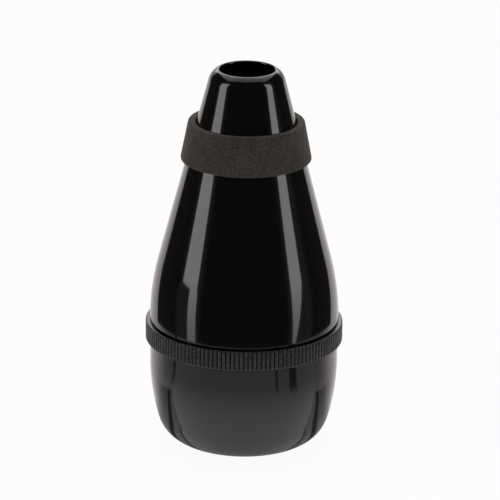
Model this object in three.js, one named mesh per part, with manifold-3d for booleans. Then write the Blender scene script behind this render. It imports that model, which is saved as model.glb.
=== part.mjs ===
// A practice mute for a trumpet, standing on its foot with its mouth up.
// Two moulded shells, a cone above and a bowl below, are drawn together by a knurled ring.
// The ring hangs under the bowl's flange and screws on to the foot of the cone, so turning it lifts the cone.
// Millimetres, +Z up, the origin at the middle of the foot.
import * as THREE from "three";
import { mergeVertices } from "three/addons/utils/BufferGeometryUtils.js";
import Module from "manifold-3d";

const wasm = await Module();
wasm.setup();

// Shared sizes and clearances
const overallHeight = 156.5; // foot to the top of the lip
const shellWall = 2.5; // both shells
const fitGap = 0.3; // between rigid pieces that fit in one another
const runningGap = 0.3; // between rigid pieces that turn or slide on each other
const softGap = 0.2; // round rubber and foam
const cutOverrun = 2; // how far a cutting outline runs past what it cuts

// Cone shell: an upright foot, a curved shoulder, then a straight taper to the lip
const coneRadius = 36.85; // outside, at its foot
const shoulderArc = 104; // radius of the curved shoulder
const shoulderSink = 0.65; // the shoulder starts this far below the top of the knurled ring
const mouthRadius = 11.1; // the opening the air goes in by
const mouthWall = 2.1; // from the opening to where the straight taper would reach the top
const lipRound = 6.5; // outer rounding of the lip
const lipEdge = 0.6; // small rounding where the lip turns into the opening
const tongueThickness = 1.1; // inner half of the wall, which goes down into the bowl
const tongueLength = 3;

// Knurled ring
const ringFootHeight = 42.75; // its lower edge above the bench
const ringHeight = 8.4;
const threadRoom = 1.15; // between the cone and the ring, where the thread is
const ringWall = 1.45; // from the bore to the bottom of the grooves
const ribDepth = 0.55;
const ribCount = 140;
const ribFootChamfer = 1; // at the lower end of each rib
const ribTopRound = 1; // height of the rounded upper end of each rib
const bevelDrop = 0.45; // how far the top face falls from the bore to the ribs
const bevelSetback = 0.05; // the top face stops this far inside the grooves
const ringLip = 1.2; // the inward lip that hangs under the bowl's flange
const ribOutlineShares = [
  { turn: 0, height: 0 },
  { turn: 0.2, height: 0.75 },
  { turn: 0.5, height: 1 },
  { turn: 0.8, height: 0.75 },
]; // one rib, from groove to groove: share of the pitch, share of the depth

// Bowl shell: a round corner at the foot and a side that bulges gently up to its flange
const rimStep = 0.25; // the bowl is this much smaller in radius than the cone
const bowlCorner = 9.5; // outer rounding from the foot to the side
const bowlSideArc = 102.5; // radius of the bulging side
const bowlStraight = 6; // upright stretch just below the ring
const footRimWidth = 6; // flat rim the mute stands on
const footRecess = 1.5; // depth of the recess inside that rim
const footDraft = 0.4; // slope of the recess's edge
const flangeThickness = 2;
const sealThickness = 1; // flat rubber ring on the flange
const discThickness = 1.6; // baffle disc, clamped between tongue and bowl

// Breather tube, its rubber grommet and the hub that steadies it
const tubeRadius = 4.5;
const tubeBore = 2; // radius of the air way
const tubeStandout = 4; // above the hub
const tubeLift = 0.6; // its lower end above the bench
const tubeChamfer = 0.4;
const grommetWall = 2.3; // rubber between the tube and the hole in the bowl
const grommetFlangeWidth = 2.5;
const grommetLowerFlange = 0.9;
const grommetUpperFlange = 1.4;
const hubWall = 1.8;
const hubHeight = 5; // above the disc

// Ports in the baffle disc
const portCount = 6;
const portLand = 6.9; // left between a port and the hub, and between a port and the rim

// Soft pieces
const dampingHeight = 20; // foam ring that lies on the floor of the bowl
const dampingEdge = 1.5; // its softened upper edges
const collarHeight = 15.7; // foam sleeve that seals in the bell of the trumpet
const collarSetback = 21.6; // from the top of the lip down to the top of the collar
const collarWall = 3.1;
const collarTopGap = 1.45; // the collar's upper edge stands this far off the cone
const collarEdge = 0.5; // its softened edges

// Facets round each kind of turned piece, and along the arcs of their outlines
const shellFacets = 56;
const collarFacets = 48;
const smallFacets = 28;
const portFacets = 10; // in half a circle
const longArcSteps = 5;
const shortArcSteps = 3;
const ribRoundSteps = 2;

// Worked-out sizes
const quarterTurn = Math.PI / 2;
const ringTop = ringFootHeight + ringHeight;
const ringBore = coneRadius + threadRoom;
const grooveRadius = ringBore + ringWall;
const ringRadius = grooveRadius + ribDepth;
const rimRadius = coneRadius - rimStep;
const bowlInner = rimRadius - shellWall;
const coneInner = coneRadius - shellWall;
const ringLipTop = ringFootHeight + ringLip;
const flangeBottom = ringLipTop + runningGap;
const flangeTop = flangeBottom + flangeThickness;
const flangeRadius = ringBore - runningGap;
const sealTop = flangeTop + sealThickness;
const coneFoot = sealTop + softGap;
const tongueRadius = coneInner + tongueThickness;
const tongueEnd = coneFoot - tongueLength;
const rebateRadius = tongueRadius + fitGap;
const discTop = tongueEnd - softGap;
const rebateFloor = discTop - discThickness;
const shoulderHeight = ringTop - shoulderSink;
const shoulderCentre = point(coneRadius - shoulderArc, shoulderHeight);
const lipCorner = point(mouthRadius + mouthWall, overallHeight);
const taperAngle = tangentAngle(shoulderCentre, shoulderArc, lipCorner);
const sideTop = ringFootHeight - bowlStraight;
const sideCentre = point(rimRadius - bowlSideArc, sideTop);
const cornerCentre = cornerOfBowl();
const cornerAngle = Math.atan2(cornerCentre.y - sideCentre.y, cornerCentre.x - sideCentre.x);
const bowlFloor = footRecess + shellWall;
const floorAngle = Math.asin((bowlFloor - cornerCentre.y) / (bowlCorner - shellWall));
const recessRadius = cornerCentre.x - footRimWidth;
const baseHole = tubeRadius + grommetWall;
const hubTop = discTop + hubHeight;
const hubBore = tubeRadius + fitGap;
const hubRadius = hubBore + hubWall;
const portCircle = (hubRadius + tongueRadius) / 2; // radius of the circle their middles lie on
const portRadius = (tongueRadius - hubRadius) / 2 - portLand;

// A point of an outline: distance from the axis, height above the bench.
function point(radius, height) {
  return new THREE.Vector2(radius, height);
}

// The point of a circle at an angle.
function onCircle(centre, radius, angle) {
  return point(centre.x + radius * Math.cos(angle), centre.y + radius * Math.sin(angle));
}

// Points along a circle from one angle to another, both ends included.
function arc(centre, radius, from, to, steps) {
  return new THREE.EllipseCurve(centre.x, centre.y, radius, radius, from, to, to < from).getPoints(steps);
}

// The angle at which a line from an outside point touches the upper right of a circle.
function tangentAngle(centre, radius, outside) {
  const away = outside.clone().sub(centre);
  return away.angle() - Math.acos(radius / away.length());
}

// The bowl's corner circle stands on the bench and touches the side's circle from inside.
function cornerOfBowl() {
  const apart = bowlSideArc - bowlCorner;
  const rise = sideTop - bowlCorner;
  return point(sideCentre.x + Math.sqrt(apart ** 2 - rise ** 2), bowlCorner);
}

// The cone's outer radius at a height on its straight taper.
function coneRadiusAt(height) {
  return lipCorner.x + (lipCorner.y - height) * Math.tan(taperAngle);
}

// Turns a closed outline about the upright axis. The outline runs up its outside and down its inside.
function turned(outline, facets) {
  return new THREE.LatheGeometry([...outline, outline[0]], facets).rotateX(quarterTurn);
}

// A geometry as a manifold solid, for joining and cutting.
function toSolid(geometry) {
  const bare = new THREE.BufferGeometry();
  bare.setAttribute("position", geometry.getAttribute("position"));
  bare.setIndex(geometry.getIndex());
  const merged = mergeVertices(bare);
  return new wasm.Manifold(
    new wasm.Mesh({
      numProp: 3,
      vertProperties: merged.getAttribute("position").array,
      triVerts: new Uint32Array(merged.getIndex().array),
    }),
  );
}

// A manifold solid as a flat-shaded geometry.
function toGeometry(solid) {
  const mesh = solid.getMesh();
  const indexed = new THREE.BufferGeometry();
  indexed.setAttribute("position", new THREE.BufferAttribute(mesh.vertProperties, mesh.numProp));
  indexed.setIndex(new THREE.BufferAttribute(mesh.triVerts, 1));
  const geometry = indexed.toNonIndexed();
  geometry.computeVertexNormals();
  return geometry;
}

// The lip: a wide outer rounding off the taper, then a small one into the opening.
function lipOutline() {
  const edgeCentre = point(mouthRadius + lipEdge, overallHeight - lipEdge);
  const toTaper = lipCorner.clone().sub(edgeCentre);
  const outward = toTaper.x * Math.cos(taperAngle) + toTaper.y * Math.sin(taperAngle);
  const back = Math.acos((lipRound - outward) / (lipRound - lipEdge));
  const joinAngle = taperAngle + back;
  const roundCentre = onCircle(edgeCentre, lipEdge - lipRound, joinAngle);
  return [
    ...arc(roundCentre, lipRound, taperAngle, joinAngle, shortArcSteps),
    ...arc(edgeCentre, lipEdge, joinAngle, Math.PI, shortArcSteps).slice(1),
  ];
}

function coneShell() {
  const outline = [
    point(coneInner, tongueEnd),
    point(tongueRadius, tongueEnd),
    point(tongueRadius, coneFoot),
    point(coneRadius, coneFoot),
    ...arc(shoulderCentre, shoulderArc, 0, taperAngle, longArcSteps),
    ...lipOutline(),
    ...arc(shoulderCentre, shoulderArc - shellWall, taperAngle, 0, longArcSteps),
  ];
  return turned(outline, shellFacets);
}

function bowlShell() {
  const outline = [
    point(baseHole, footRecess),
    point(recessRadius, footRecess),
    point(recessRadius + footDraft, 0),
    ...arc(cornerCentre, bowlCorner, -quarterTurn, cornerAngle, longArcSteps),
    ...arc(sideCentre, bowlSideArc, cornerAngle, 0, longArcSteps).slice(1),
    point(rimRadius, flangeBottom),
    point(flangeRadius, flangeBottom),
    point(flangeRadius, flangeTop),
    point(rebateRadius, flangeTop),
    point(rebateRadius, rebateFloor),
    point(bowlInner, rebateFloor),
    ...arc(sideCentre, bowlSideArc - shellWall, 0, cornerAngle, longArcSteps),
    ...arc(cornerCentre, bowlCorner - shellWall, cornerAngle, floorAngle, shortArcSteps).slice(1),
    point(baseHole, bowlFloor),
  ];
  return turned(outline, shellFacets);
}

// The outline of the ribs all the way round, as a prism taller than the ring.
function ribPrism() {
  const pitch = (2 * Math.PI) / ribCount;
  const outline = [];
  for (let rib = 0; rib < ribCount; rib++) {
    for (const share of ribOutlineShares) {
      const radius = grooveRadius + ribDepth * share.height;
      outline.push(onCircle(point(0, 0), radius, (rib + share.turn) * pitch));
    }
  }
  const depth = ringHeight + 2 * cutOverrun;
  const prism = new THREE.ExtrudeGeometry(new THREE.Shape(outline), { depth, bevelEnabled: false });
  return prism.translate(0, 0, ringFootHeight - cutOverrun);
}

// The ring without its ribs: the bore, the inward lip, and the cuts that shape the ends of the ribs.
function ringBlank() {
  const ribTop = ringTop - bevelDrop;
  const bevelEdge = grooveRadius - bevelSetback;
  const roundStart = ribTop - ribTopRound;
  const roundCurve = new THREE.EllipseCurve(
    bevelEdge,
    roundStart,
    ringRadius - bevelEdge,
    ribTopRound,
    0,
    quarterTurn,
  );
  const outline = [
    point(rimRadius + runningGap, ringFootHeight),
    point(ringRadius - ribFootChamfer, ringFootHeight),
    point(ringRadius + cutOverrun, ringFootHeight + ribFootChamfer + cutOverrun),
    point(ringRadius + cutOverrun, roundStart),
    ...roundCurve.getPoints(ribRoundSteps),
    point(ringBore, ringTop),
    point(ringBore, ringLipTop),
    point(rimRadius + runningGap, ringLipTop),
  ];
  return turned(outline, ribCount);
}

function knurledRing() {
  return toGeometry(toSolid(ribPrism()).intersect(toSolid(ringBlank())));
}

function foamCollar() {
  const top = overallHeight - collarSetback;
  const bottom = top - collarHeight;
  const bottomInner = coneRadiusAt(bottom) + softGap;
  const topInner = coneRadiusAt(top) + collarTopGap;
  const outline = [
    point(bottomInner, bottom),
    point(bottomInner + collarWall - collarEdge, bottom),
    point(bottomInner + collarWall, bottom + collarEdge),
    point(topInner + collarWall, top - collarEdge),
    point(topInner + collarWall - collarEdge, top),
    point(topInner, top),
  ];
  return turned(outline, collarFacets);
}

function sealingRing() {
  const outline = [
    point(rebateRadius, flangeTop),
    point(flangeRadius - fitGap, flangeTop),
    point(flangeRadius - fitGap, sealTop),
    point(rebateRadius, sealTop),
  ];
  return turned(outline, shellFacets);
}

// The disc and its ring of ports, without the hub.
function discPlate() {
  const rim = new THREE.EllipseCurve(0, 0, tongueRadius, tongueRadius, 0, 2 * Math.PI).getPoints(shellFacets);
  const plate = new THREE.Shape(rim.slice(0, shellFacets));
  for (let port = 0; port < portCount; port++) {
    const centre = onCircle(point(0, 0), portCircle, (2 * Math.PI * port) / portCount);
    plate.holes.push(new THREE.Path().absarc(centre.x, centre.y, portRadius, 0, 2 * Math.PI, true));
  }
  const settings = { depth: discThickness, bevelEnabled: false, curveSegments: portFacets };
  return new THREE.ExtrudeGeometry(plate, settings).translate(0, 0, rebateFloor);
}

function baffleDisc() {
  const hub = turned(
    [
      point(0, rebateFloor),
      point(hubRadius, rebateFloor),
      point(hubRadius, hubTop),
      point(0, hubTop),
    ],
    smallFacets,
  );
  const bore = turned(
    [
      point(0, rebateFloor - cutOverrun),
      point(hubBore, rebateFloor - cutOverrun),
      point(hubBore, hubTop + cutOverrun),
      point(0, hubTop + cutOverrun),
    ],
    smallFacets,
  );
  return toGeometry(toSolid(discPlate()).add(toSolid(hub)).subtract(toSolid(bore)));
}

function breatherTube() {
  const top = hubTop + tubeStandout;
  const outline = [
    point(tubeBore, tubeLift),
    point(tubeRadius - tubeChamfer, tubeLift),
    point(tubeRadius, tubeLift + tubeChamfer),
    point(tubeRadius, top - tubeChamfer),
    point(tubeRadius - tubeChamfer, top),
    point(tubeBore, top),
  ];
  return turned(outline, smallFacets);
}

// Its two flanges lie below and above the floor of the bowl, and its neck fills the hole between them.
function tubeGrommet() {
  const neck = baseHole - softGap;
  const flange = baseHole + grommetFlangeWidth;
  const inner = tubeRadius + softGap;
  const underside = footRecess - softGap;
  const overside = bowlFloor + softGap;
  const outline = [
    point(inner, underside - grommetLowerFlange),
    point(flange, underside - grommetLowerFlange),
    point(flange, underside),
    point(neck, underside),
    point(neck, overside),
    point(flange, overside),
    point(flange, overside + grommetUpperFlange),
    point(inner, overside + grommetUpperFlange),
  ];
  return turned(outline, smallFacets);
}

// A foam ring cut to drop on to the flat floor of the bowl, round the grommet.
function dampingFoam() {
  const bottom = bowlFloor + softGap;
  const top = bottom + dampingHeight;
  const inner = baseHole + grommetFlangeWidth + fitGap;
  const outer = onCircle(cornerCentre, bowlCorner - shellWall, floorAngle).x - fitGap;
  const outline = [
    point(inner, bottom),
    point(outer, bottom),
    point(outer, top - dampingEdge),
    point(outer - dampingEdge, top),
    point(inner + dampingEdge, top),
    point(inner, top - dampingEdge),
  ];
  return turned(outline, collarFacets);
}

// A named piece with its own material.
function piece(name, geometry, color, roughness) {
  const material = new THREE.MeshStandardMaterial({ name, color, roughness, metalness: 0 });
  const mesh = new THREE.Mesh(geometry, material);
  mesh.name = name;
  return mesh;
}

// What stands still when the ring is turned
const bowlGroup = new THREE.Group().add(
  piece("bowl_shell", bowlShell(), 0x141416, 0.12),
  piece("baffle_disc", baffleDisc(), 0x1b1b1d, 0.35),
  piece("breather_tube", breatherTube(), 0x18181a, 0.3),
  piece("tube_grommet", tubeGrommet(), 0x1f1e1d, 0.8),
  piece("sealing_ring", sealingRing(), 0x201f1e, 0.75),
  piece("damping_foam", dampingFoam(), 0x34322f, 0.98),
);

// What turns
const ringGroup = new THREE.Group().add(piece("knurled_ring", knurledRing(), 0x1a1a1b, 0.3));

// What rises as the ring is turned
const coneGroup = new THREE.Group().add(
  piece("cone_shell", coneShell(), 0x0c0c0d, 0.1),
  piece("foam_collar", foamCollar(), 0x2c2a29, 0.97),
);

const mute = new THREE.Group().add(bowlGroup, ringGroup, coneGroup);

export default mute;
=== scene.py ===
# A practice mute for a trumpet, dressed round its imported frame.
# Gloss black moulded shells, a satin knurled ring and a charcoal foam collar, with the pieces inside them.
# Metres, +Z up, the origin at the middle of the foot, mouth up.
import functools
import math

import bmesh
import bpy
from bpy.props import FloatProperty, FloatVectorProperty, IntProperty, PointerProperty
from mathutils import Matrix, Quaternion, Vector, noise


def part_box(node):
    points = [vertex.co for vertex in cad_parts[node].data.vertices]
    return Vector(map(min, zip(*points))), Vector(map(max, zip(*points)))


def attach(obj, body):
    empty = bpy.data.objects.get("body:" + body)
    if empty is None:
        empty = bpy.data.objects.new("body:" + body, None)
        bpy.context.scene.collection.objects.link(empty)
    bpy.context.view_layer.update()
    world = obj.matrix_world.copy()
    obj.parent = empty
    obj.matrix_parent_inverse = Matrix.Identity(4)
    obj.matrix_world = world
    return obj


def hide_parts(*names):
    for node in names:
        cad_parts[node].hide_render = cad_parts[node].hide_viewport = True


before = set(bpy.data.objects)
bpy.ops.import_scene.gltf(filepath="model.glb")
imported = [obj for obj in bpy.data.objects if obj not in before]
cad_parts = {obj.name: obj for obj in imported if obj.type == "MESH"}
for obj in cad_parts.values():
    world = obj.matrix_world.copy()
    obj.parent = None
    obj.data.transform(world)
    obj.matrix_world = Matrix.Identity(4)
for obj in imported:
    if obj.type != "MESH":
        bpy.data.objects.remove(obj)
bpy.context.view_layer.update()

bl_info = {
    "name": "Trumpet practice mute",
    "version": (1, 0, 0),
    "blender": (4, 5, 0),
    "location": "3D View > Sidebar > Mute",
    "description": "Builds the shells, ring, collar and inner pieces of a practice mute, and its stage",
    "category": "Object",
}

MM = 0.001
QUARTER_TURN = math.pi / 2
FULL_TURN = 2 * math.pi

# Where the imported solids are
cone_low, cone_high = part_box("cone_shell")
bowl_low, bowl_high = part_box("bowl_shell")
ring_low, ring_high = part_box("knurled_ring")
collar_low, collar_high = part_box("foam_collar")
seal_low, seal_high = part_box("sealing_ring")
disc_low, disc_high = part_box("baffle_disc")
tube_low, tube_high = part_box("breather_tube")
grommet_low, grommet_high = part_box("tube_grommet")
foam_low, foam_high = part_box("damping_foam")

# Clearances
FIT_GAP = 0.3 * MM  # between rigid pieces that fit in one another
RUNNING_GAP = 0.3 * MM  # between rigid pieces that turn or slide on each other
SOFT_GAP = 0.2 * MM  # round rubber and foam
FLOOR_GAP = 0.05 * MM  # from the foot down to the floor

# Steps round the turned pieces and along their outlines
SHELL_SEGMENTS = 256
SMALL_SEGMENTS = 96
RIB_SEGMENTS = 10
LONG_STEPS = 48
SHORT_STEPS = 16
EDGE_STEPS = 4
SHARP_ANGLE = math.radians(35)

# Small forms, not for setting
SEAL_EDGE = 0.2 * MM
RUN_OUT = 12  # a thread ridge grows to its full height over a twelfth of a turn
RUN_OUT_START = 0.05  # of its height, where it starts
PIT_REACH = 0.5  # of a foam cell, from its middle to where its wall is whole
LUMP_SIZE = 6  # foam cells across one lump of the cut surface
LUMP_SHARE = 0.5  # of a cell's depth, by which the lumps rise and fall

# Patterns of the finishes, at the size that the real surface shows
SINK_WAVE = 16 * MM
ORANGE_PEEL = 1.6 * MM
HANDLED_PATCH = 22 * MM
DYE_PATCH = 30 * MM
RIB_PATCH = 1.6 * MM
RIB_PATCH_DEPTH = 0.12 * MM
FOAM_SPECK = 0.5 * MM
FOAM_SPECK_DEPTH = 0.05 * MM
FOAM_SHADE = 7 * MM
BLOOM_PATCH = 3 * MM
INNER_PATCH = 9 * MM
SPONGE_FUZZ = 0.4 * MM
SPONGE_FUZZ_DEPTH = 0.1 * MM
LAMINATE_GRAIN = 2 * MM
# These three are finer on the real surface, and are drawn as coarse as they need to be to show
SATIN_GRAIN = 0.45 * MM
SATIN_DEPTH = 0.03 * MM
RUBBER_GRAIN = 0.4 * MM
RUBBER_DEPTH = 0.02 * MM
SPARK_PIT = 0.25 * MM
SPARK_DEPTH = 0.015 * MM

ABS_IOR = 1.54
NITRILE_IOR = 1.52
WHITE = (1.0, 1.0, 1.0, 1.0)
# A noise runs mostly between the first two, and most often between the other two
NOISE_SPREAD = {"From Min": 0.3, "From Max": 0.7}
NOISE_MIDDLE = {"From Min": 0.35, "From Max": 0.65}


# Colours and nodes


def linear(hex_colour):
    """An sRGB hex value as the linear colour, with alpha, that a shader takes."""
    channels = [(hex_colour >> shift & 255) / 255 for shift in (16, 8, 0)]
    lit = [c / 12.92 if c <= 0.04045 else ((c + 0.055) / 1.055) ** 2.4 for c in channels]
    return (*lit, 1.0)


def add_node(tree, kind, inputs=None, **settings):
    """Adds a node with its settings. An input is a value, a socket, or a node for its first open socket."""
    node = tree.nodes.new(kind)
    for key, value in settings.items():
        setattr(node, key, value)
    for name, source in (inputs or {}).items():
        if isinstance(source, bpy.types.Node):
            source = next(output for output in source.outputs if output.enabled)
        if isinstance(source, bpy.types.NodeSocket):
            tree.links.new(source, node.inputs[name])
        else:
            node.inputs[name].default_value = source
    return node


def fresh(tree):
    """Empties a tree, and gives the function that adds a node to it."""
    tree.nodes.clear()
    return functools.partial(add_node, tree)


def shared(name, finish, settings):
    """The material of that name. On first use its finish adds the nodes and gives the last shader."""
    material = bpy.data.materials.get(name)
    if material is None:
        material = bpy.data.materials.new(name)
        material.use_nodes = True
        add = fresh(material.node_tree)
        place = add("ShaderNodeTexCoord").outputs["Object"]
        add("ShaderNodeOutputMaterial", {"Surface": finish(add, place, settings)})
    return material


# Settings that a user would change


def length_setting(name, description, default):
    """A length, in metres."""
    return FloatProperty(name=name, description=description, default=default, unit="LENGTH")


def share_setting(name, description, default):
    """A share, from none to all."""
    return FloatProperty(name=name, description=description, default=default, min=0, max=1)


def colour_setting(name, description, hex_colour):
    """A colour, from its sRGB hex value."""
    return FloatVectorProperty(
        name=name, description=description, subtype="COLOR", size=4, default=linear(hex_colour)
    )


class ShellSettings(bpy.types.PropertyGroup):
    """Form and finish of the two gloss shells."""

    wall: length_setting("Wall", "Wall of both shells", 2.5 * MM)
    shoulder_radius: length_setting("Shoulder radius", "Of the cone, over the ring", 38.3 * MM)
    shoulder_arc: length_setting("Shoulder arc", "Upright curve of the shoulder", 101.5 * MM)
    mouth_radius: length_setting("Mouth radius", "The opening at the top", 11.1 * MM)
    mouth_wall: length_setting("Mouth wall", "From the opening to the straight taper, at the top", 3.2 * MM)
    lip_round: length_setting("Lip round", "Outer rounding of the lip", 6.5 * MM)
    lip_edge: length_setting("Lip edge", "Small rounding where the lip turns into the opening", 0.6 * MM)
    tongue: length_setting("Tongue", "Thickness of the cone's inner foot", 1.1 * MM)
    rim_step: length_setting("Rim step", "The bowl's neck is this much inside the cone's foot", 0.25 * MM)
    bowl_radius: length_setting("Bowl radius", "Of the bowl under the ring", 38.1 * MM)
    bowl_corner: length_setting("Bowl corner", "Rounding from foot to side", 13.5 * MM)
    bowl_arc: length_setting("Bowl arc", "Upright curve of the side", 85.6 * MM)
    bowl_straight: length_setting("Bowl straight", "Upright stretch under the ring", 8.6 * MM)
    foot_rim: length_setting("Foot rim", "Width of the rim it stands on", 6 * MM)
    foot_recess: length_setting("Foot recess", "Depth inside that rim", 1.5 * MM)
    foot_draft: length_setting("Foot draft", "Slope of the recess's edge", 0.4 * MM)
    flange: length_setting("Flange", "Thickness of the bowl's flange", 2 * MM)
    edge: length_setting("Edge", "Rounding of every moulded corner", 0.25 * MM)
    colour: colour_setting("Colour", "Dyed plastic", 0x060607)
    cool_colour: colour_setting("Cool colour", "Where the dye is a hair cooler", 0x060708)
    roughness: share_setting("Roughness", "Of the polished skin", 0.06)
    haze: share_setting("Haze", "Roughness added where it was handled", 0.03)
    sink_depth: length_setting("Sink depth", "Slow waves of the moulding", 0.006 * MM)
    peel_depth: length_setting("Peel depth", "Fine orange peel", 0.0006 * MM)


class RingSettings(bpy.types.PropertyGroup):
    """Form and finish of the knurled ring and its thread."""

    ribs: IntProperty(name="Ribs", description="Ribs all the way round", default=140, min=3)
    rib_depth: length_setting("Rib depth", "Groove to crest", 0.55 * MM)
    rib_fullness: FloatProperty(
        name="Rib fullness", description="The less, the broader the crests", default=0.8, min=0.1, max=2
    )
    thread_room: length_setting("Thread room", "Between cone and ring", 1.15 * MM)
    lip: length_setting("Lip", "Thickness of the inward lip", 1.2 * MM)
    foot_chamfer: length_setting("Foot chamfer", "Lower end of each rib", 0.6 * MM)
    top_round: length_setting("Top round", "Height of each rib's rounded upper end", 0.6 * MM)
    bevel_drop: length_setting("Bevel drop", "Fall of the top face", 0.2 * MM)
    bevel_setback: length_setting("Bevel setback", "From the grooves in to the top face", 0.05 * MM)
    thread_pitch: length_setting("Thread pitch", "Rise of one turn", 2 * MM)
    thread_depth: length_setting("Thread depth", "How far a ridge stands out", 0.7 * MM)
    thread_root: length_setting("Thread root", "Width of a ridge at its foot", 0.9 * MM)
    thread_crest: length_setting("Thread crest", "Width of a ridge at its top", 0.4 * MM)
    colour: colour_setting("Colour", "Dyed plastic", 0x0C0C0D)
    # Paler crests: partly wear from rubbing, partly a painted highlight
    worn_and_highlight_colour: colour_setting("Worn colour", "Rubbed crests", 0x383839)
    roughness: share_setting("Roughness", "Of the satin skin", 0.26)


class CollarSettings(bpy.types.PropertyGroup):
    """Form and finish of the foam collar."""

    wall: length_setting("Wall", "At its upper edge, the sheet's own", 3.05 * MM)
    stretched_wall: length_setting("Stretched wall", "At its wider lower edge", 2.2 * MM)
    top_gap: length_setting("Top gap", "Upper edge off the cone", 0.4 * MM)
    edge: length_setting("Edge", "Softened edges", 0.6 * MM)
    mesh_step: length_setting("Mesh step", "Size of a face", 0.26 * MM)
    cell: length_setting("Cell", "Cut cells", 0.55 * MM)
    cell_depth: length_setting("Cell depth", "Depth of the cut cells", 0.09 * MM)
    colour: colour_setting("Colour", "Foam", 0x2C2927)
    pale_colour: colour_setting("Pale colour", "Cell walls", 0x4B4843)
    # Painted shade in the open cells
    pore_shade_colour: colour_setting("Pore colour", "Open cells", 0x1B1A18)


class InnerSettings(bpy.types.PropertyGroup):
    """Form and finish of what the shells hold."""

    tube_bore: length_setting("Tube bore", "Radius of the air way", 2 * MM)
    tube_chamfer: length_setting("Tube chamfer", "At both ends", 0.4 * MM)
    disc_thickness: length_setting("Disc thickness", "Of the baffle disc", 1.6 * MM)
    hub_wall: length_setting("Hub wall", "Round the tube", 1.8 * MM)
    port_land: length_setting("Port land", "Left beside each port", 6.9 * MM)
    ports: IntProperty(name="Ports", description="Ports in the disc", default=6, min=1)
    grommet_wall: length_setting("Grommet wall", "Rubber round the tube", 2.3 * MM)
    lower_flange: length_setting("Lower flange", "Of the grommet", 0.9 * MM)
    upper_flange: length_setting("Upper flange", "Of the grommet", 1.4 * MM)
    foam_edge: length_setting("Foam edge", "Softened edges of the damping foam", 1.5 * MM)
    foam_cell: length_setting("Foam cell", "Pores of the damping foam", 1.1 * MM)
    plastic_colour: colour_setting("Plastic", "Disc and tube", 0x1B1B1D)
    pale_plastic: colour_setting("Pale plastic", "Where the dye is paler", 0x212123)
    rubber_colour: colour_setting("Rubber", "Seal and grommet", 0x201F1E)
    bloom_colour: colour_setting("Bloom", "Dust on the rubber", 0x2C2B29)
    foam_colour: colour_setting("Foam", "Struts of the damping foam", 0x3B3936)
    # Painted shade in the pores
    pore_shade_colour: colour_setting("Pores", "Between those struts", 0x171614)


class StageSettings(bpy.types.PropertyGroup):
    """Studio and camera."""

    table_radius: length_setting("Table", "Radius of the round white table", 0.18)
    floor_colour: colour_setting("Floor", "Table and floor", 0xEDEDED)
    lamp_colour: colour_setting("Lamps", "Slightly warm light", 0xFFFAF9)
    floor_glow: share_setting("Floor glow", "Plain white in what the camera sees of the floor", 0.95)
    overhead: FloatProperty(name="Overhead", description="Brightness of the ceiling panel", default=1.25)
    softbox: FloatProperty(name="Softbox", description="Brightness of the side panels", default=3.2)
    sweep: FloatProperty(name="Sweep", description="Brightness of the backdrop behind", default=1.0)
    room: FloatProperty(name="Room", description="Brightness of the dark room", default=0.042)
    fill: FloatProperty(name="Fill", description="Watts of the front fill", default=2.5)
    camera_target: length_setting("Target", "Height that the camera looks at", 77.5 * MM)
    camera_distance: length_setting("Distance", "From that target to the camera", 1.7068)
    camera_height: FloatProperty(
        name="Elevation", description="Camera above level", default=math.radians(19.35), unit="ROTATION"
    )
    camera_roll: FloatProperty(
        name="Roll", description="Tilt of the picture", default=math.radians(0.69), unit="ROTATION"
    )
    lens: FloatProperty(name="Lens", description="Focal length in millimetres", default=304.2)
    shift_across: FloatProperty(name="Shift across", description="In picture widths", default=0.0102)
    shift_up: FloatProperty(name="Shift up", description="In picture widths", default=0.0124)


# Outlines: distance from the axis, height above the floor


def arc(centre, radius, start, end, steps):
    """Points along a circle from one angle to another, both ends included."""
    angles = [start + (end - start) * step / steps for step in range(steps + 1)]
    return [(centre[0] + radius * math.cos(a), centre[1] + radius * math.sin(a)) for a in angles]


def straight(start, end, steps):
    """The points between two others, without those two."""
    start, end = Vector(start), Vector(end)
    return [tuple(start.lerp(end, step / steps)) for step in range(1, steps)]


def tangent_angle(centre, radius, outside):
    """The angle at which a line from an outside point touches the upper right of a circle."""
    across, up = outside[0] - centre[0], outside[1] - centre[1]
    return math.atan2(up, across) - math.acos(radius / math.hypot(across, up))


def corner_arc(before, corner, after, radius):
    """The arc that rounds one corner of an outline."""
    corner = Vector(corner)
    back = (Vector(before) - corner).normalized()
    forth = (Vector(after) - corner).normalized()
    half = back.angle(forth) / 2
    centre = corner + (back + forth).normalized() * (radius / math.sin(half))
    start = (corner + back * (radius / math.tan(half)) - centre).normalized()
    end = (corner + forth * (radius / math.tan(half)) - centre).normalized()
    spokes = [start.slerp(end, step / EDGE_STEPS) for step in range(EDGE_STEPS + 1)]
    return [tuple(centre + spoke * radius) for spoke in spokes]


def rounded(corners):
    """A closed outline. A corner with a third number, its radius, is rounded."""
    outline = []
    for index, corner in enumerate(corners):
        if len(corner) == 2:
            outline.append(corner)
            continue
        before = corners[index - 1][:2]
        after = corners[(index + 1) % len(corners)][:2]
        outline.extend(corner_arc(before, corner[:2], after, corner[2]))
    return outline


def band(inner, outer, low, high, low_edge, high_edge):
    """The outline of a plain ring, with the rounding of its lower and upper edges."""
    return rounded(
        [
            (inner, low, low_edge),
            (outer, low, low_edge),
            (outer, high, high_edge),
            (inner, high, high_edge),
        ]
    )


def resampled(outline, spacing):
    """A closed outline with a point at least every so far."""
    points = []
    for start, end in zip(outline, outline[1:] + outline[:1]):
        steps = max(1, math.ceil(math.dist(start, end) / spacing))
        points.append(start)
        points.extend(straight(start, end, steps))
    return points


# Meshes


def to_object(name, bm):
    """A mesh object from a bmesh, smooth but for its sharp edges."""
    bmesh.ops.recalc_face_normals(bm, faces=bm.faces)
    mesh = bpy.data.meshes.new(name)
    bm.to_mesh(mesh)
    bm.free()
    mesh.shade_smooth()
    mesh.set_sharp_from_angle(angle=SHARP_ANGLE)
    built = bpy.data.objects.new(name, mesh)
    bpy.context.scene.collection.objects.link(built)
    return built


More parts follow.
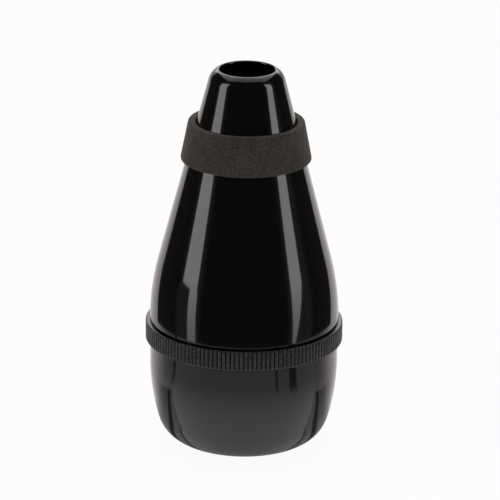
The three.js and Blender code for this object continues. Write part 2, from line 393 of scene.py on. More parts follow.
def turn_outline(bm, outline, segments, limit=None):
    """Turns a closed outline about the upright axis. A limit gives the largest radius at each turn."""
    turns = [FULL_TURN * index / segments for index in range(segments)]
    limits = [limit(turn) if limit else math.inf for turn in turns]
    rings = []
    for radius, height in outline:
        ring = []
        for turn, most in zip(turns, limits):
            held = min(radius, most)
            ring.append(bm.verts.new((held * math.cos(turn), held * math.sin(turn), height)))
        rings.append(ring)
    for lower, upper in zip(rings, rings[1:] + rings[:1]):
        for index in range(segments):
            following = (index + 1) % segments
            bm.faces.new((lower[index], lower[following], upper[following], upper[index]))


def turned(name, outline, segments, limit=None):
    """A turned piece."""
    bm = bmesh.new()
    turn_outline(bm, outline, segments, limit)
    return to_object(name, bm)


def pitted(name, outline, spacing, cell, depth):
    """A turned piece of foam, cut so that its cells lie open in the surface."""
    bm = bmesh.new()
    widest = max(radius for radius, height in outline)
    segments = math.ceil(FULL_TURN * widest / spacing)
    turn_outline(bm, resampled(outline, spacing), segments)
    bmesh.ops.recalc_face_normals(bm, faces=bm.faces)
    bm.normal_update()
    for vert in bm.verts:
        nearest = noise.voronoi(vert.co / cell)[0][0]
        lumps = noise.noise(vert.co / (LUMP_SIZE * cell))
        open_cell = max(0.0, 1 - nearest / PIT_REACH)
        vert.co -= vert.normal * depth * (open_cell + LUMP_SHARE - LUMP_SHARE * lumps)
    return to_object(name, bm)


def finish_piece(piece, body, material, node=None):
    """Gives a piece its finish and its body, and hides the solid that it stands for."""
    piece.data.materials.append(material)
    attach(piece, body)
    if node:
        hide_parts(node)


# Finishes


def gloss_abs(add, place, settings):
    """Polished moulded ABS dyed black: deep black that mirrors the room, with a trace of orange peel."""
    # Slow waves where the wall shrank in the mould, and the fine peel of its skin
    sink = add("ShaderNodeTexNoise", {"Vector": place, "Scale": 1 / SINK_WAVE, "Detail": 1.0})
    peel = add("ShaderNodeTexNoise", {"Vector": place, "Scale": 1 / ORANGE_PEEL, "Detail": 2.0})
    waves = add("ShaderNodeBump", {"Height": sink, "Strength": 1.0, "Distance": settings.sink_depth})
    skin = add(
        "ShaderNodeBump",
        {"Height": peel, "Normal": waves, "Strength": 1.0, "Distance": settings.peel_depth},
    )
    # Haze of handling in broad patches
    handled = add(
        "ShaderNodeTexNoise", {"Vector": place, "Scale": 1 / HANDLED_PATCH, "Detail": 5.0, "Roughness": 0.6}
    )
    dullness = add(
        "ShaderNodeMapRange",
        {
            "Value": handled,
            "From Min": 0.45,
            "From Max": 0.75,
            "To Min": settings.roughness,
            "To Max": settings.roughness + settings.haze,
        },
    )
    dye = add("ShaderNodeTexNoise", {"Vector": place, "Scale": 1 / DYE_PATCH, "Detail": 2.0})
    tint = add(
        "ShaderNodeMix", {"Factor": dye, "A": settings.colour, "B": settings.cool_colour}, data_type="RGBA"
    )
    return add(
        "ShaderNodeBsdfPrincipled",
        {"Base Color": tint, "Roughness": dullness, "IOR": ABS_IOR, "Normal": skin},
    )


def satin_abs(add, place, settings):
    """Moulded ABS with a fine satin grain: soft highlights along the ribs, and crests painted paler, partly
    for rubbing and partly as a painted highlight.
    """
    grain = add("ShaderNodeTexNoise", {"Vector": place, "Scale": 1 / SATIN_GRAIN, "Detail": 3.0})
    uneven = add("ShaderNodeTexNoise", {"Vector": place, "Scale": 1 / RIB_PATCH, "Detail": 2.0})
    # No two ribs catch the light alike
    ribs_apart = add("ShaderNodeBump", {"Height": uneven, "Strength": 1.0, "Distance": RIB_PATCH_DEPTH})
    relief = add(
        "ShaderNodeBump", {"Height": grain, "Normal": ribs_apart, "Strength": 1.0, "Distance": SATIN_DEPTH}
    )
    # Distance from the axis tells a crest from a groove; the outer half of a rib is painted paler, partly
    # for rubbing and partly as a painted highlight
    flat = add("ShaderNodeVectorMath", {0: place, 1: (1.0, 1.0, 0.0)}, operation="MULTIPLY")
    from_axis = add("ShaderNodeVectorMath", {0: flat}, operation="LENGTH")
    crest = add(
        "ShaderNodeMapRange",
        {"Value": from_axis, "From Min": ring_high.x - settings.rib_depth / 2, "From Max": ring_high.x},
    )
    patches = add("ShaderNodeMapRange", {"Value": uneven, **NOISE_MIDDLE, "To Min": 0.1})
    rubbed_and_lit = add("ShaderNodeMath", {0: crest, 1: patches}, operation="MULTIPLY")
    tint = add(
        "ShaderNodeMix",
        {"Factor": rubbed_and_lit, "A": settings.colour, "B": settings.worn_and_highlight_colour},
        data_type="RGBA",
    )
    smoother, duller = settings.roughness - 0.05, settings.roughness + 0.08
    dullness = add(
        "ShaderNodeMapRange", {"Value": grain, **NOISE_SPREAD, "To Min": smoother, "To Max": duller}
    )
    return add(
        "ShaderNodeBsdfPrincipled",
        {"Base Color": tint, "Roughness": dullness, "IOR": ABS_IOR, "Normal": relief},
    )


def closed_cell_foam(add, place, settings):
    """Closed-cell EVA foam cut from sheet: matt charcoal, speckled by the cells that the knife laid open,
    with painted shade in those open cells.
    """
    cells = add("ShaderNodeTexVoronoi", {"Vector": place, "Scale": 1 / settings.cell})
    fine = add("ShaderNodeTexNoise", {"Vector": place, "Scale": 1 / FOAM_SPECK, "Detail": 3.0})
    broad = add("ShaderNodeTexNoise", {"Vector": place, "Scale": 1 / FOAM_SHADE, "Detail": 3.0})
    speckle = add("ShaderNodeMapRange", {"Value": fine, **NOISE_MIDDLE})
    walls = add(
        "ShaderNodeMix",
        {"Factor": speckle, "A": settings.colour, "B": settings.pale_colour},
        data_type="RGBA",
    )
    # Painted shade in each open cell: darkest in its middle, out to its wall
    pores = add("ShaderNodeMapRange", {"Value": cells, "From Min": 0.1, "From Max": 0.42})
    cut = add("ShaderNodeMix", {"Factor": pores, "A": settings.pore_shade_colour, "B": walls}, data_type="RGBA")
    # The sheet is a little paler and darker from place to place
    shade = add("ShaderNodeMapRange", {"Value": broad, **NOISE_SPREAD, "To Min": 0.84, "To Max": 1.14})
    tint = add("ShaderNodeVectorMath", {0: cut, "Scale": shade}, operation="SCALE")
    relief = add("ShaderNodeBump", {"Height": fine, "Strength": 0.8, "Distance": FOAM_SPECK_DEPTH})
    return add(
        "ShaderNodeBsdfPrincipled",
        {
            "Base Color": tint,
            "Roughness": 0.95,
            "Specular IOR Level": 0.3,
            "Sheen Weight": 0.08,
            "Sheen Roughness": 0.5,
            "Normal": relief,
        },
    )


def nitrile_rubber(add, place, settings):
    """Moulded nitrile rubber: soft grey-black with a dusty bloom."""
    bloom = add("ShaderNodeTexNoise", {"Vector": place, "Scale": 1 / BLOOM_PATCH, "Detail": 4.0})
    grain = add("ShaderNodeTexNoise", {"Vector": place, "Scale": 1 / RUBBER_GRAIN, "Detail": 2.0})
    tint = add(
        "ShaderNodeMix",
        {"Factor": bloom, "A": settings.rubber_colour, "B": settings.bloom_colour},
        data_type="RGBA",
    )
    dullness = add("ShaderNodeMapRange", {"Value": bloom, **NOISE_SPREAD, "To Min": 0.55, "To Max": 0.75})
    relief = add("ShaderNodeBump", {"Height": grain, "Strength": 0.7, "Distance": RUBBER_DEPTH})
    return add(
        "ShaderNodeBsdfPrincipled",
        {"Base Color": tint, "Roughness": dullness, "IOR": NITRILE_IOR, "Normal": relief},
    )


def textured_abs(add, place, settings):
    """Moulded ABS with a spark-eroded mould texture: an even low sheen."""
    sparks = add("ShaderNodeTexVoronoi", {"Vector": place, "Scale": 1 / SPARK_PIT, "Detail": 1.0})
    patches = add("ShaderNodeTexNoise", {"Vector": place, "Scale": 1 / INNER_PATCH, "Detail": 3.0})
    tint = add(
        "ShaderNodeMix",
        {"Factor": patches, "A": settings.plastic_colour, "B": settings.pale_plastic},
        data_type="RGBA",
    )
    dullness = add("ShaderNodeMapRange", {"Value": patches, **NOISE_SPREAD, "To Min": 0.34, "To Max": 0.46})
    relief = add("ShaderNodeBump", {"Height": sparks, "Strength": 0.6, "Distance": SPARK_DEPTH})
    return add(
        "ShaderNodeBsdfPrincipled",
        {"Base Color": tint, "Roughness": dullness, "IOR": ABS_IOR, "Normal": relief},
    )


def open_cell_foam(add, place, settings):
    """Open-cell polyurethane foam: a matt sponge with pale struts, and painted shade in the pores between
    them.
    """
    cells = add("ShaderNodeTexVoronoi", {"Vector": place, "Scale": 1 / settings.foam_cell})
    fuzz = add("ShaderNodeTexNoise", {"Vector": place, "Scale": 1 / SPONGE_FUZZ, "Detail": 3.0})
    # The pores between the struts are painted dark, as shade
    struts = add("ShaderNodeMapRange", {"Value": cells, "From Min": 0.15, "From Max": 0.5})
    tint = add(
        "ShaderNodeMix",
        {"Factor": struts, "A": settings.pore_shade_colour, "B": settings.foam_colour},
        data_type="RGBA",
    )
    relief = add("ShaderNodeBump", {"Height": fuzz, "Strength": 1.0, "Distance": SPONGE_FUZZ_DEPTH})
    return add(
        "ShaderNodeBsdfPrincipled",
        {"Base Color": tint, "Roughness": 1.0, "Specular IOR Level": 0.2, "Normal": relief},
    )


# Cone shell


def cone_form(settings):
    """The centre of the shoulder's arc, the point that the taper runs to, and the taper's angle."""
    centre = (settings.shoulder_radius - settings.shoulder_arc, ring_high.z + RUNNING_GAP)
    corner = (settings.mouth_radius + settings.mouth_wall, cone_high.z)
    return centre, corner, tangent_angle(centre, settings.shoulder_arc, corner)


def cone_radius_at(settings, height):
    """The cone's outer radius at a height on its straight taper."""
    _, corner, taper = cone_form(settings)
    return corner[0] + (corner[1] - height) * math.tan(taper)


def lip_outline(settings):
    """A wide outer rounding off the taper, then a small one into the opening."""
    _, corner, taper = cone_form(settings)
    edge_centre = (settings.mouth_radius + settings.lip_edge, cone_high.z - settings.lip_edge)
    across, up = corner[0] - edge_centre[0], corner[1] - edge_centre[1]
    outward = across * math.cos(taper) + up * math.sin(taper)
    back = math.acos((settings.lip_round - outward) / (settings.lip_round - settings.lip_edge))
    join = taper + back
    inward = settings.lip_edge - settings.lip_round
    round_centre = (edge_centre[0] + inward * math.cos(join), edge_centre[1] + inward * math.sin(join))
    return [
        *arc(round_centre, settings.lip_round, taper, join, SHORT_STEPS),
        *arc(edge_centre, settings.lip_edge, join, math.pi, SHORT_STEPS)[1:],
    ]


def cone_shell(settings):
    """A plain foot that the separate thread ridge goes round, a wider curved shoulder over the ring and a
    straight taper to the lip.

    A tongue goes down inside from the foot, and the inside is straight up to where the shoulder meets it.
    """
    centre, _, taper = cone_form(settings)
    inner = cone_high.x - settings.wall
    tongue = inner + settings.tongue
    foot = seal_high.z + SOFT_GAP
    shoulder = arc(centre, settings.shoulder_arc, 0, taper, LONG_STEPS)
    lip = lip_outline(settings)
    inner_arc = settings.shoulder_arc - settings.wall
    inner_start = math.acos((inner - centre[0]) / inner_arc)
    inside = arc(centre, inner_arc, taper, inner_start, SHORT_STEPS)
    outline = rounded(
        [
            (inner, cone_low.z, settings.edge),
            (tongue, cone_low.z, settings.edge),
            (tongue, foot),
            (cone_high.x, foot, settings.edge),
            (cone_high.x, centre[1]),
            (*shoulder[0], settings.edge),
            *shoulder[1:],
            *straight(shoulder[-1], lip[0], LONG_STEPS),
            *lip,
            *straight(lip[-1], inside[0], LONG_STEPS),
            *inside,
        ]
    )
    return turned("cone_shell_finish", outline, SHELL_SEGMENTS)


# Bowl shell


def rebate_radius(settings):
    """The radius of the rebate in the bowl's neck, which the cone's tongue goes down into."""
    return cone_high.x - settings.wall + settings.tongue + FIT_GAP


def bowl_form(settings):
    """The centres of the side's arc and the corner's arc, and the angle at which they meet."""
    side = (settings.bowl_radius - settings.bowl_arc, ring_low.z - settings.bowl_straight)
    apart = settings.bowl_arc - settings.bowl_corner
    rise = side[1] - settings.bowl_corner
    corner = (side[0] + math.sqrt(apart**2 - rise**2), settings.bowl_corner)
    return side, corner, math.atan2(corner[1] - side[1], corner[0] - side[0])


def floor_angle(settings):
    """Where the bowl's inner corner meets its floor."""
    _, corner, _ = bowl_form(settings)
    floor = settings.foot_recess + settings.wall
    return math.asin((floor - corner[1]) / (settings.bowl_corner - settings.wall))


def bowl_shell(settings, inner_settings):
    """A flat recessed foot, a round corner, a bulging side, and a neck with the flange over the ring's lip.

    The inside is straight from the seat of the disc down to where the side's curve meets it.
    """
    side, corner, meeting = bowl_form(settings)
    rim_top = ring_low.z - RUNNING_GAP
    neck = cone_high.x - settings.rim_step
    hole = tube_high.x + inner_settings.grommet_wall
    recess = corner[0] - settings.foot_rim
    floor = settings.foot_recess + settings.wall
    flange_bottom = bowl_high.z - settings.flange
    rebate = rebate_radius(settings)
    inner_side = settings.bowl_arc - settings.wall
    inner_corner = settings.bowl_corner - settings.wall
    inner_start = -math.acos((neck - settings.wall - side[0]) / inner_side)
    edge = settings.edge
    outline = rounded(
        [
            (hole, settings.foot_recess, edge),
            (recess, settings.foot_recess, edge),
            (recess + settings.foot_draft, 0, edge),
            *arc(corner, settings.bowl_corner, -QUARTER_TURN, meeting, LONG_STEPS),
            *arc(side, settings.bowl_arc, meeting, 0, LONG_STEPS)[1:],
            *straight((settings.bowl_radius, side[1]), (settings.bowl_radius, rim_top), SHORT_STEPS),
            (settings.bowl_radius, rim_top, edge),
            (neck, rim_top),
            (neck, flange_bottom),
            (bowl_high.x, flange_bottom, edge),
            (bowl_high.x, bowl_high.z, edge),
            (rebate, bowl_high.z, edge),
            (rebate, disc_low.z),
            (neck - settings.wall, disc_low.z, edge),
            *arc(side, inner_side, inner_start, meeting, LONG_STEPS),
            *arc(corner, inner_corner, meeting, floor_angle(settings), SHORT_STEPS)[1:],
            (hole, floor, edge),
        ]
    )
    return turned("bowl_shell_finish", outline, SHELL_SEGMENTS)


# Knurled ring and its thread


def ring_bore(settings):
    """The radius of the ring's bore, outside the thread."""
    return cone_high.x + settings.thread_room


def knurled_ring(settings, shell_settings):
    """Upright ribs, chamfered at the foot and rounded at the top into a face that slopes up inwards."""
    groove = ring_high.x - settings.rib_depth
    bore = ring_bore(settings)
    lip = cone_high.x - shell_settings.rim_step + RUNNING_GAP
    bevel = groove - settings.bevel_setback
    round_start = ring_high.z - settings.bevel_drop - settings.top_round
    top = [
        (bevel + (ring_high.x - bevel) * across, round_start + settings.top_round * up)
        for across, up in arc((0, 0), 1, 0, QUARTER_TURN, SHORT_STEPS)
    ]
    chamfer_foot = (ring_high.x - settings.foot_chamfer, ring_low.z)
    chamfer_top = (ring_high.x, ring_low.z + settings.foot_chamfer)
    outline = rounded(
        [
            (lip, ring_low.z, shell_settings.edge),
            chamfer_foot,
            *straight(chamfer_foot, chamfer_top, SHORT_STEPS),
            chamfer_top,
            *straight(chamfer_top, top[0], SHORT_STEPS),
            *top,
            (bore, ring_high.z, shell_settings.edge),
            (bore, ring_low.z + settings.lip),
            (lip, ring_low.z + settings.lip, shell_settings.edge),
        ]
    )

    def rib(turn):
        share = turn / FULL_TURN * settings.ribs % 1
        return groove + settings.rib_depth * math.sin(math.pi * share) ** settings.rib_fullness

    return turned("knurled_ring_finish", outline, settings.ribs * RIB_SEGMENTS, rib)


def thread_ridge(name, settings, wall, crest, phase):
    """A right-hand thread ridge on a round wall, all the way up the ring and thinning out at both ends."""
    bm = bmesh.new()
    low = seal_high.z + SOFT_GAP + settings.thread_root
    high = ring_high.z - settings.thread_root
    turns = (high - low) / settings.thread_pitch
    buried = wall - (crest - wall)
    sections = []
    for step in range(round(turns * SMALL_SEGMENTS) + 1):
        run = step / SMALL_SEGMENTS
        growth = min(1.0, run * RUN_OUT, (turns - run) * RUN_OUT)
        reach = wall + (crest - wall) * max(growth, RUN_OUT_START)
        middle = low + run * settings.thread_pitch
        angle = FULL_TURN * run + phase
        corners = (
            (buried, -settings.thread_root),
            (reach, -settings.thread_crest),
            (reach, settings.thread_crest),
            (buried, settings.thread_root),
        )
        sections.append(
            [
                bm.verts.new((radius * math.cos(angle), radius * math.sin(angle), middle + width / 2))
                for radius, width in corners
            ]
        )
    for section, following in zip(sections, sections[1:]):
        for index in range(len(section)):
            after = (index + 1) % len(section)
            bm.faces.new((section[index], section[after], following[after], following[index]))
    bm.faces.new(sections[0])
    bm.faces.new(sections[-1])
    return to_object(name, bm)


# Foam collar


def foam_collar(settings, shell_settings):
    """A sleeve cut from foam sheet, stretched thin and snug low on the cone, and loose on it at the top."""
    bottom_inner = cone_radius_at(shell_settings, collar_low.z) + SOFT_GAP
    top_inner = cone_radius_at(shell_settings, collar_high.z) + settings.top_gap
    edge = settings.edge
    outline = rounded(
        [
            (bottom_inner, collar_low.z, edge / 2),
            (bottom_inner + settings.stretched_wall, collar_low.z, edge),
            (top_inner + settings.wall, collar_high.z, edge),
            (top_inner, collar_high.z, edge / 2),
        ]
    )
    return pitted(
        "foam_collar_finish", outline, settings.mesh_step, settings.cell, settings.cell_depth
    )


# Pieces inside the shells


def sealing_ring(shell_settings):
    """A flat rubber ring with softened corners."""
    outer = bowl_high.x - FIT_GAP
    outline = band(rebate_radius(shell_settings), outer, seal_low.z, seal_high.z, SEAL_EDGE, SEAL_EDGE)
    return turned("sealing_ring_finish", outline, SHELL_SEGMENTS)


def tube_grommet(settings, shell_settings):
    """Two flanges below and above the floor of the bowl, and a neck that fills the hole."""
    inner = tube_high.x + SOFT_GAP
    neck = tube_high.x + settings.grommet_wall - SOFT_GAP
    underside = grommet_low.z + settings.lower_flange
    overside = grommet_high.z - settings.upper_flange
    edge = shell_settings.edge
    outline = rounded(
        [
            (inner, grommet_low.z, edge),
            (grommet_high.x, grommet_low.z, edge),
            (grommet_high.x, underside, edge),
            (neck, underside),
            (neck, overside),
            (grommet_high.x, overside, edge),
            (grommet_high.x, grommet_high.z, edge),
            (inner, grommet_high.z, edge),
        ]
    )
    return turned("tube_grommet_finish", outline, SMALL_SEGMENTS)


def breather_tube(settings):
    """A straight tube with chamfered ends."""
    chamfer = settings.tube_chamfer
    edge = chamfer / 4
    outline = rounded(
        [
            (settings.tube_bore, tube_low.z, edge),
            (tube_high.x - chamfer, tube_low.z, edge),
            (tube_high.x, tube_low.z + chamfer, edge),
            (tube_high.x, tube_high.z - chamfer, edge),
            (tube_high.x - chamfer, tube_high.z, edge),
            (settings.tube_bore, tube_high.z, edge),
        ]
    )
    return turned("breather_tube_finish", outline, SMALL_SEGMENTS)


def circle_spline(curve, centre, radius, segments):
    """Adds a closed circle to a flat curve."""
    spline = curve.splines.new("POLY")
    spline.points.add(segments - 1)
    for index, point in enumerate(spline.points):
        turn = FULL_TURN * index / segments
        point.co = (centre[0] + radius * math.cos(turn), centre[1] + radius * math.sin(turn), 0, 1)
    spline.use_cyclic_u = True


def baffle_disc(settings, shell_settings):
    """A disc with a ring of ports, and a hub that steadies the tube."""
    edge = shell_settings.edge
    weld = edge / 100
    bore = tube_high.x + FIT_GAP
    hub = bore + settings.hub_wall
    port_circle = (hub + disc_high.x) / 2
    port_radius = (disc_high.x - hub) / 2 - settings.port_land
    plate = bpy.data.curves.new("disc_plate", "CURVE")
    plate.dimensions = "2D"
    plate.fill_mode = "BOTH"
    plate.extrude = settings.disc_thickness / 2 - edge
    plate.bevel_depth = edge
    plate.bevel_resolution = 2
    plate.offset = -edge
    circle_spline(plate, (0, 0), disc_high.x, SHELL_SEGMENTS)
    circle_spline(plate, (0, 0), hub - edge, SMALL_SEGMENTS)
    for port in range(settings.ports):
        turn = FULL_TURN * port / settings.ports
        centre = (port_circle * math.cos(turn), port_circle * math.sin(turn))
        circle_spline(plate, centre, port_radius, SMALL_SEGMENTS)
    drawn = bpy.data.objects.new("disc_plate", plate)
    bpy.context.scene.collection.objects.link(drawn)
    flat = drawn.evaluated_get(bpy.context.evaluated_depsgraph_get()).to_mesh()
    bm = bmesh.new()
    bm.from_mesh(flat)
    bmesh.ops.translate(bm, verts=bm.verts, vec=(0, 0, disc_low.z + settings.disc_thickness / 2))
    bmesh.ops.remove_doubles(bm, verts=bm.verts, dist=weld)
    drawn.to_mesh_clear()
    bpy.data.objects.remove(drawn)
    bpy.data.curves.remove(plate)
    hub_outline = rounded(
        [
            (bore, disc_low.z, edge),
            (hub, disc_low.z),
            (hub, disc_high.z, edge),
            (bore, disc_high.z, edge),
        ]
    )
    turn_outline(bm, hub_outline, SMALL_SEGMENTS)
    return to_object("baffle_disc_finish", bm)


def damping_foam(settings, shell_settings):
    """A thick foam ring that lies on the floor of the bowl, round the grommet."""
    _, corner, _ = bowl_form(shell_settings)
    reach = (shell_settings.bowl_corner - shell_settings.wall) * math.cos(floor_angle(shell_settings))
    outer = corner[0] + reach - FIT_GAP
    inner = grommet_high.x + FIT_GAP
    edge = settings.foam_edge
    cell = settings.foam_cell
    mesh_step, cell_depth = cell / 2, cell / 3
    outline = band(inner, outer, foam_low.z, foam_high.z, edge / 4, edge)
    return pitted("damping_foam_finish", outline, mesh_step, cell, cell_depth)


# Stage

# Limits of the studio's lights. Across, up and wide are degrees: from the front to the right, from level,
# and to either side. Sideways and back are where a direction meets a ceiling one unit up, and height is the
# share of it that goes up. The others are slanted sums of two of these. None leaves a side open.
SOFTBOX_SLANT = 0.58
SOFTBOX_TOP = 38.0 + SOFTBOX_SLANT * 64.0  # the upper edge is 38 degrees up at 64 degrees across
STUDIO_LIGHTS = {
    "right softbox": {"across": (60.9, 80.0), "lean": (40.0, 76.5), "slant": (None, SOFTBOX_TOP)},
    "left softbox, low": {"across": (-72.8, -61.0), "up": (None, 0.5)},
    "left softbox": {"across": (-85.5, -62.2), "up": (0.5, 60.0), "slant": (None, SOFTBOX_TOP)},
    "ceiling": {
        "sideways": (None, 0.82),
        "front edge": (-0.374, None),
        "back": (None, 1.7),
        "height": (0.15, None),
    },
    "ceiling lamp": {"widening": (None, 0.22), "back": (0.3, None), "height": (0.2, None)},
    "backdrop": {"narrowing": (137.5, None), "up": (-40.0, 24.0)},
    "spill": {"wide": (56.0, 90.0), "up": (-25.0, 45.0)},
}
LEAST_HEIGHT = 0.05  # keeps level directions from meeting the ceiling infinitely far off

# The mute's mirrored shadow keeps its slant between these distances to either side
SHADOW_SIDES = (42 * MM, 72 * MM)
CORE_SLANT = 0.14
STEP_SLANT = 0.25
LINE_LEVEL = -0.34
LINE_FADE = 1.2 * MM
# Small dark marks near the table's edge: degrees from the front to the right, half the width in degrees,
# and how far from the axis each starts
TABLE_MARKS = ((54.5, 4.5, 0.108), (35.5, 1.4, 0.114), (-82.0, 2.0, 0.104))
MARK_LEVEL = 0.42
MARK_FADE = 0.02  # radians round the axis, and metres away from it
DARKEST_TABLE = 0.1

# Metres
FLOOR_REACH = 4
FILL_SIZE = 1.2
FILL_PLACE = (0, -1.9, 1.5)


def light_patch(add, level, fade, sides):
    """One patch of light or shade: its level between every side's limits, fading out across them."""
    for measure, low, high in sides:
        for limit, reach in ((low, fade), (high, -fade)):
            if limit is None:
                continue
            edge = add(
                "ShaderNodeMapRange",
                {"Value": measure, "From Min": limit - reach, "From Max": limit + reach},
                interpolation_type="SMOOTHSTEP",
            )
            level = add("ShaderNodeMath", {0: level, 1: edge}, operation="MULTIPLY")
    return level


def studio_world(settings):
    """A dark room with a panel overhead, a tall softbox on each side and a pale sweep behind the mute.

    Gloss plastic shows its lights and little else, so the room is drawn by direction. The camera sees the
    backdrop as plain white.
    """
    world = bpy.data.worlds.new("studio")
    world.use_nodes = True
    bpy.context.scene.world = world
    add = fresh(world.node_tree)
    direction = add("ShaderNodeTexCoord").outputs["Generated"]
    parts = add("ShaderNodeSeparateXYZ", {"Vector": direction}).outputs
    forward = add("ShaderNodeMath", {0: parts["Y"], 1: -1.0}, operation="MULTIPLY")
    around = add("ShaderNodeMath", {0: parts["X"], 1: forward}, operation="ARCTAN2")
    across = add("ShaderNodeMath", {0: around}, operation="DEGREES")
    rise = add("ShaderNodeMath", {0: parts["Z"]}, operation="ARCSINE")
    up = add("ShaderNodeMath", {0: rise}, operation="DEGREES")
    wide = add("ShaderNodeMath", {0: across}, operation="ABSOLUTE")
    high = add("ShaderNodeMath", {0: parts["Z"], 1: LEAST_HEIGHT}, operation="MAXIMUM")
    beside = add("ShaderNodeMath", {0: parts["X"]}, operation="ABSOLUTE")
    sideways = add("ShaderNodeMath", {0: beside, 1: high}, operation="DIVIDE")
    back = add("ShaderNodeMath", {0: parts["Y"], 1: high}, operation="DIVIDE")
    measures = {
        "across": across,
        "up": up,
        "wide": wide,
        "sideways": sideways,
        "back": back,
        "height": parts["Z"],
    }
    for name, first, slope, second in (
        # A softbox's upper edge falls away to the side, as seen from the mute
        ("slant", wide, SOFTBOX_SLANT, up),
        # The right one leans outwards towards the top
        ("lean", up, -0.55, across),
        # The panel overhead has a rounded front, and a brighter part that widens towards the back
        ("front edge", sideways, -0.3, back),
        ("widening", back, -0.42, sideways),
        # The white backdrop is narrower higher up
        ("narrowing", up, -0.35, wide),
    ):
        measures[name] = add("ShaderNodeMath", {0: first, 1: slope, 2: second}, operation="MULTIPLY_ADD")
    graded = {}
    for name, measure, start, end, blending in (
        # A softbox is brighter towards its lamp, higher up
        ("softbox", "up", (-16.0, 0.5 * settings.softbox), (9.0, settings.softbox), "LINEAR"),
        ("ceiling", "back", (-0.35, 0.6 * settings.overhead), (0.3, settings.overhead), "SMOOTHSTEP"),
        # The backdrop is dimmer higher up
        ("backdrop", "up", (-8.0, settings.sweep), (8.0, 0.55 * settings.sweep), "SMOOTHSTEP"),
    ):
        graded[name] = add(
            "ShaderNodeMapRange",
            {
                "Value": measures[measure],
                "From Min": start[0],
                "From Max": end[0],
                "To Min": start[1],
                "To Max": end[1],
            },
            interpolation_type=blending,
        )
    # Each light's level, and the fade at its edges
    levels = {
        "right softbox": (graded["softbox"], 0.5),
        "left softbox, low": (graded["softbox"], 0.5),
        "left softbox": (graded["softbox"], 0.5),
        "ceiling": (graded["ceiling"], 0.04),
        "ceiling lamp": (1.2 * settings.overhead, 0.05),
        "backdrop": (graded["backdrop"], 1.5),
        # Light spills from the softboxes on to the walls beside them
        "spill": (2.4 * settings.room, 4.0),
    }
    total = settings.room
    for name, limits in STUDIO_LIGHTS.items():
        level, fade = levels[name]
        sides = [(measures[measure], *between) for measure, between in limits.items()]
        light = light_patch(add, level, fade, sides)
        total = add("ShaderNodeMath", {0: total, 1: light}, operation="ADD")
    seen = add("ShaderNodeLightPath").outputs["Is Camera Ray"]
    strength = add("ShaderNodeMix", {"Factor": seen, "A": total, "B": 1.0})
    tint = add("ShaderNodeMix", {"Factor": seen, "A": settings.lamp_colour, "B": WHITE}, data_type="RGBA")
    background = add("ShaderNodeBackground", {"Color": tint, "Strength": strength})
    add("ShaderNodeOutputWorld", {"Surface": background})


def mirrored_table(add, place, from_axis, settings):
    """How bright gloss plastic mirrors the table: it falls off from the mute, whose shadow is on it."""
    parts = add("ShaderNodeSeparateXYZ", {"Vector": place}).outputs
    beside = add("ShaderNodeMath", {0: parts["X"]}, operation="ABSOLUTE")
    forward = add("ShaderNodeMath", {0: parts["Y"], 1: -1.0}, operation="MULTIPLY")
    turn = add("ShaderNodeMath", {0: parts["X"], 1: forward}, operation="ARCTAN2")
    around = add("ShaderNodeMath", {0: turn}, operation="ABSOLUTE")
    nearest, furthest = SHADOW_SIDES
    outward = add("ShaderNodeClamp", {"Value": beside, "Min": nearest, "Max": furthest})
    core_reach, step_reach = [
        add("ShaderNodeMath", {0: outward, 1: slant, 2: forward}, operation="MULTIPLY_ADD")
        for slant in (CORE_SLANT, STEP_SLANT)
    ]
    graded = {}
    for name, measure, start, end in (
        # The table's mirrored brightness is painted: light falling off from the mute, and painted shade
        # where the foot comes down to it
        ("open", from_axis, (35 * MM, 1.1), (140 * MM, 0.54)),
        ("contact", from_axis, (24 * MM, 0.25), (39 * MM, 1.0)),
        # The shadow to both sides of the mute: its core, a dark edge and a paler step in front
        ("core", core_reach, (10.5 * MM, 0.38), (15 * MM, 0.08)),
        ("edge", core_reach, (17.4 * MM, 0.0), (20.6 * MM, 0.48)),
        ("step", step_reach, (30.8 * MM, 0.0), (33.6 * MM, 0.44)),
        ("sides", beside, (84 * MM, 1.0), (92 * MM, 0.25)),
        # Behind the mute the table is as white as the backdrop
        ("behind", around, (math.radians(92), 0.0), (math.radians(122), 1.0)),
        ("far", from_axis, (35 * MM, 0.35 * settings.sweep), (65 * MM, settings.sweep)),
    ):
        graded[name] = add(
            "ShaderNodeMapRange",
            {
                "Value": measure,
                "From Min": start[0],
                "From Max": end[0],
                "To Min": start[1],
                "To Max": end[1],
            },
            interpolation_type="SMOOTHSTEP",
        )
    # A thin dark line runs along the front of the step
    line_sides = [(step_reach, 30 * MM, 31.8 * MM), (beside, 0.0, 40 * MM)]
    line = light_patch(add, LINE_LEVEL, LINE_FADE, line_sides)
    steps = graded["core"]
    for part in (graded["edge"], graded["step"], line):
        steps = add("ShaderNodeMath", {0: steps, 1: part}, operation="ADD")
    shade = add("ShaderNodeMix", {"Factor": graded["sides"], "A": 1.0, "B": steps})
    lit = add("ShaderNodeMath", {0: graded["open"], 1: graded["contact"]}, operation="MULTIPLY")
    near = add("ShaderNodeMath", {0: lit, 1: shade}, operation="MULTIPLY")
    for towards, half_width, start in TABLE_MARKS:
        low, high = math.radians(towards - half_width), math.radians(towards + half_width)
        mark = light_patch(add, MARK_LEVEL, MARK_FADE, [(turn, low, high), (from_axis, start, None)])
        near = add("ShaderNodeMath", {0: near, 1: mark}, operation="SUBTRACT")
        near = add("ShaderNodeMath", {0: near, 1: DARKEST_TABLE}, operation="MAXIMUM")
    return add("ShaderNodeMix", {"Factor": graded["behind"], "A": near, "B": graded["far"]})


